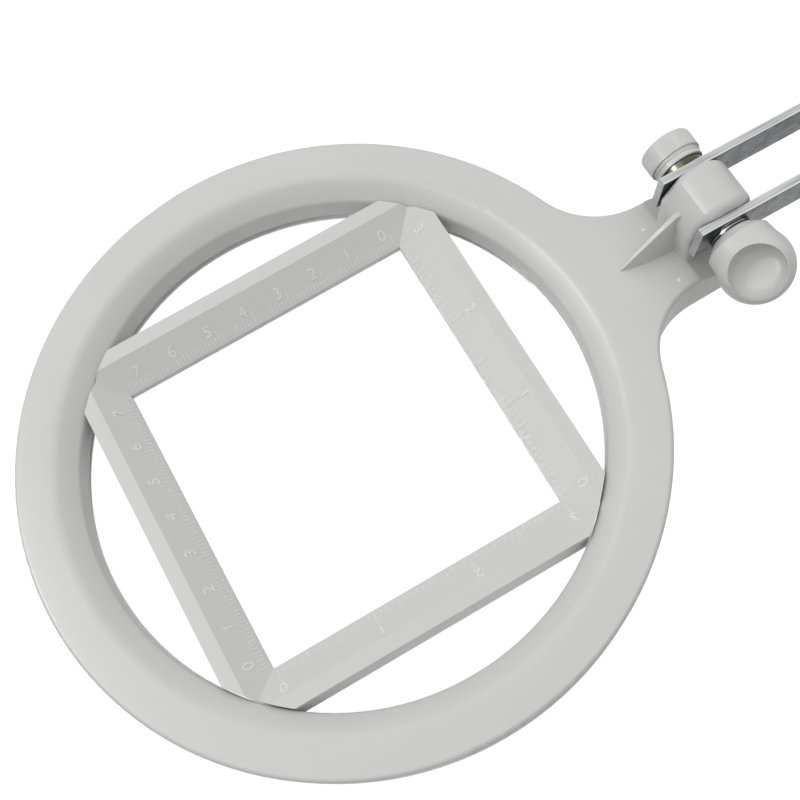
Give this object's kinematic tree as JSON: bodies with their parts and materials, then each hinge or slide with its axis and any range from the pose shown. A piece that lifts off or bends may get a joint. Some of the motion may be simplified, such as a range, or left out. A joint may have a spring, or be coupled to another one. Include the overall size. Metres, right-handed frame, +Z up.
{
  "type": "stand magnifier",
  "caption": "Large round stand magnifier with a drop-in square frame of centimetre and inch scales, folding twin-bar arm, clamp knobs and a weighted round base",
  "frame": {"origin": "centre of the round base, on the surface that the stand rests on", "axes": "+Z up; the arm and the lens head reach out along -X; the hinge bolts lie along Y, with the thumb knobs at -Y"},
  "size_m": [0.4819, 0.176, 0.2667],
  "materials": {
    "grey_moulding": "satin light grey moulded ABS",
    "scale_moulding": "satin light grey moulded ABS with raised graduations",
    "lens_glass": "polished clear optical glass",
    "retainer_plastic": "plain moulded ring",
    "arm_steel": "cold rolled flat steel, darkened, bare bright edges",
    "bolt_steel": "zinc plated",
    "washer_brass": "plain turned brass",
    "spring_steel": "plated spring steel",
    "nylon": "natural nylon",
    "iron": "rough cast, painted",
    "plate_steel": "black painted sheet steel",
    "pad_rubber": "matt foam rubber"
  },
  "bodies": {
    "base": {"base_cover": "grey_moulding", "base_weight": "iron", "base_plate": "plate_steel", "base_screws": "bolt_steel", "base_pad": "pad_rubber", "swivel_bush": "nylon"},
    "turret": {"shoulder_hub": "grey_moulding", "swivel_pin": "bolt_steel", "swivel_washer": "bolt_steel", "swivel_nut": "bolt_steel"},
    "lower_arm": {"lower_bar_left": "arm_steel", "lower_bar_right": "arm_steel"},
    "upper_arm": {"upper_bar_left": "arm_steel", "upper_bar_right": "arm_steel", "elbow_spacer": "nylon", "elbow_friction_washers": "nylon"},
    "head": {"head_frame": "grey_moulding", "lens": "lens_glass", "lens_retainer": "retainer_plastic"},
    "scale_insert": {"scale_frame": "scale_moulding"},
    "head_clamp_bolt": {"head_bolt": "bolt_steel", "head_knurled_knob": "grey_moulding", "head_brass_washer": "washer_brass"},
    "head_clamp_nut": {"head_thumb_knob": "grey_moulding", "head_nut": "bolt_steel", "head_spring_washer": "spring_steel"},
    "elbow_clamp_bolt": {"elbow_bolt": "bolt_steel", "elbow_knurled_knob": "grey_moulding", "elbow_brass_washer": "washer_brass"},
    "elbow_clamp_nut": {"elbow_thumb_knob": "grey_moulding", "elbow_nut": "bolt_steel", "elbow_spring_washer": "spring_steel"},
    "shoulder_clamp_bolt": {"shoulder_bolt": "bolt_steel", "shoulder_knurled_knob": "grey_moulding", "shoulder_brass_washer": "washer_brass"},
    "shoulder_clamp_nut": {"shoulder_thumb_knob": "grey_moulding", "shoulder_nut": "bolt_steel", "shoulder_spring_washer": "spring_steel"}
  },
  "joints": [
    {"name": "base_swivel", "type": "hinge", "parent": "base", "child": "turret", "pos_m": [0, 0, 0.032], "axis": [0, 0, 1], "continuous": true},
    {"name": "shoulder_tilt", "type": "hinge", "parent": "turret", "child": "lower_arm", "pos_m": [0, 0, 0.052], "axis": [0, 1, 0], "range_deg": [-15, 45]},
    {"name": "elbow_fold", "type": "hinge", "parent": "lower_arm", "child": "upper_arm", "pos_m": [0, 0, 0.242], "axis": [0, 1, 0], "range_deg": [-44, 70]},
    {"name": "head_tilt", "type": "hinge", "parent": "upper_arm", "child": "head", "pos_m": [-0.21442, 0, 0.25775], "axis": [0, 1, 0], "range_deg": [-25, 170]},
    {"name": "scale_lift", "type": "slide", "parent": "head", "child": "scale_insert", "axis": [0, 0, 1], "range_m": [0, 0.02]},
    {"name": "head_bolt_turn", "type": "hinge", "parent": "upper_arm", "child": "head_clamp_bolt", "pos_m": [-0.21442, 0, 0.25775], "axis": [0, 1, 0], "continuous": true},
    {"name": "head_thumb_turn", "type": "hinge", "parent": "head_clamp_bolt", "child": "head_clamp_nut", "pos_m": [-0.21442, 0, 0.25775], "axis": [0, 1, 0], "continuous": true},
    {"name": "elbow_bolt_turn", "type": "hinge", "parent": "lower_arm", "child": "elbow_clamp_bolt", "pos_m": [0, 0, 0.242], "axis": [0, 1, 0], "continuous": true},
    {"name": "elbow_thumb_turn", "type": "hinge", "parent": "elbow_clamp_bolt", "child": "elbow_clamp_nut", "pos_m": [0, 0, 0.242], "axis": [0, 1, 0], "continuous": true},
    {"name": "shoulder_bolt_turn", "type": "hinge", "parent": "lower_arm", "child": "shoulder_clamp_bolt", "pos_m": [0, 0, 0.052], "axis": [0, 1, 0], "continuous": true},
    {"name": "shoulder_thumb_turn", "type": "hinge", "parent": "shoulder_clamp_bolt", "child": "shoulder_clamp_nut", "pos_m": [0, 0, 0.052], "axis": [0, 1, 0], "continuous": true}
  ]
}
